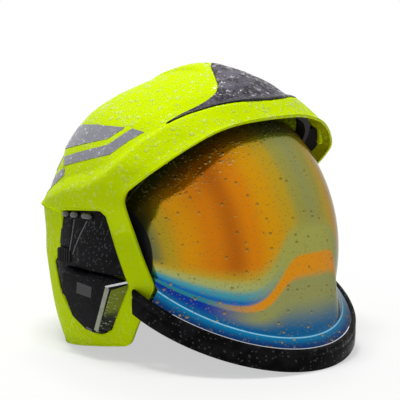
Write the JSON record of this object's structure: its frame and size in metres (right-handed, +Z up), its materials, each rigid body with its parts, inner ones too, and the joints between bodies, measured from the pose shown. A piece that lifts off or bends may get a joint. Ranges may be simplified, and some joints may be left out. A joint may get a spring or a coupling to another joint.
{
  "type": "jet style fire helmet",
  "caption": "Firefighter's jet style helmet: one deep shell, a tilting mirrored face shield with a chin lip, an inner visor, side lamp modules and a ratchet headband.",
  "frame": {"origin": "bottom centre of the bounding box, on the plane that the nape rim and the chin lip rest on", "axes": "+X across the helmet to the wearer's left, -Y the way the face looks, +Z up"},
  "size_m": [0.2536, 0.32, 0.2671],
  "materials": {
    "shell_yellow": "fluorescent yellow-green paint, glossy and wet",
    "rubber_black": "matt rubber",
    "badge_grey": "rough grained dark grey",
    "reflective_grey": "silver grey retroreflective sheet",
    "steel_pin": "bright steel",
    "nylon_black": "moulded nylon",
    "shield_gold": "gold mirror coated polycarbonate",
    "lip_black": "glossy black with a grained lower band",
    "ocular_clear": "clear polycarbonate",
    "foam_grey": "moulded polyurethane foam",
    "band_black": "flexible polyethylene",
    "webbing_grey": "woven polyester",
    "webbing_black": "woven aramid webbing",
    "pad_leather": "padded leather",
    "button_red": "red moulded",
    "panel_black": "satin black moulded",
    "lens_clear": "clear polycarbonate",
    "bezel_grey": "satin grey",
    "board_green": "board with white light chips",
    "reflector_chrome": "bright metallised",
    "battery_grey": "wrapped cell pack"
  },
  "bodies": {
    "shell": {"outer_shell": "shell_yellow", "brow_seal": "rubber_black", "crown_badge": "badge_grey", "reflective_strips_right": "reflective_grey", "reflective_strips_left": "reflective_grey", "reflective_strip_rear": "reflective_grey", "pivot_pins": "steel_pin", "pivot_washers": "nylon_black", "pivot_bracket_right": "nylon_black", "pivot_bracket_left": "nylon_black", "impact_liner": "foam_grey", "headband": "band_black", "crown_cradle": "webbing_grey", "brow_pad": "pad_leather", "nape_pad": "pad_leather", "ratchet_housing": "nylon_black", "chin_strap_right": "webbing_black", "chin_strap_left": "webbing_black", "strap_anchors": "nylon_black", "strap_rivets": "steel_pin", "buckle_socket": "nylon_black", "buckle_tongue": "nylon_black", "chin_pad": "pad_leather", "lamp_panel_right": "panel_black", "lamp_body_right": "panel_black", "lamp_lens_right": "lens_clear", "lamp_bezel_right": "bezel_grey", "lamp_board_right": "board_green", "lamp_reflector_right": "reflector_chrome", "lamp_battery_right": "battery_grey", "battery_door_right": "panel_black", "door_screws_right": "steel_pin", "lamp_panel_left": "panel_black", "lamp_body_left": "panel_black", "lamp_lens_left": "lens_clear", "lamp_bezel_left": "bezel_grey", "lamp_board_left": "board_green", "lamp_reflector_left": "reflector_chrome", "lamp_battery_left": "battery_grey", "battery_door_left": "panel_black", "door_screws_left": "steel_pin"},
    "shield": {"face_shield": "shield_gold", "chin_lip": "lip_black"},
    "ocular": {"ocular_visor": "ocular_clear"},
    "knob": {"ratchet_knob": "rubber_black"},
    "rack_right": {"size_rack_right": "nylon_black"},
    "rack_left": {"size_rack_left": "nylon_black"},
    "button": {"buckle_button": "button_red"},
    "switch_right": {"lamp_switch_right": "rubber_black"},
    "switch_left": {"lamp_switch_left": "rubber_black"}
  },
  "joints": [
    {"name": "shield_tilt", "type": "hinge", "parent": "shell", "child": "shield", "pos_m": [0, 0, 0.098], "axis": [-1, 0, 0], "range_deg": [0, 65]},
    {"name": "ocular_tilt", "type": "hinge", "parent": "shell", "child": "ocular", "pos_m": [0, 0, 0.098], "axis": [1, 0, 0], "range_deg": [0, 45]},
    {"name": "ratchet_turn", "type": "hinge", "parent": "shell", "child": "knob", "pos_m": [0, 0.13, 0.084], "axis": [0, -1, 0], "range_deg": [0, 137.5]},
    {"name": "rack_left_slide", "type": "slide", "parent": "shell", "child": "rack_left", "axis": [-1, 0, 0], "range_m": [0, 0.012]},
    {"name": "rack_right_slide", "type": "slide", "parent": "shell", "child": "rack_right", "axis": [1, 0, 0], "range_m": [0, 0.012]},
    {"name": "buckle_press", "type": "slide", "parent": "shell", "child": "button", "axis": [0, 0.9925, -0.1219], "range_m": [0, 0.0014], "stiffness_N_per_m": 2000},
    {"name": "switch_right_press", "type": "slide", "parent": "shell", "child": "switch_right", "axis": [1, 0, 0], "range_m": [0, 0.0015], "stiffness_N_per_m": 2000},
    {"name": "switch_left_press", "type": "slide", "parent": "shell", "child": "switch_left", "axis": [-1, 0, 0], "range_m": [0, 0.0015], "stiffness_N_per_m": 2000}
  ],
  "couplings": [
    {"joint": "rack_left_slide", "follows": "ratchet_turn", "m_per_rad": 0.005},
    {"joint": "rack_right_slide", "follows": "ratchet_turn", "m_per_rad": 0.005}
  ]
}
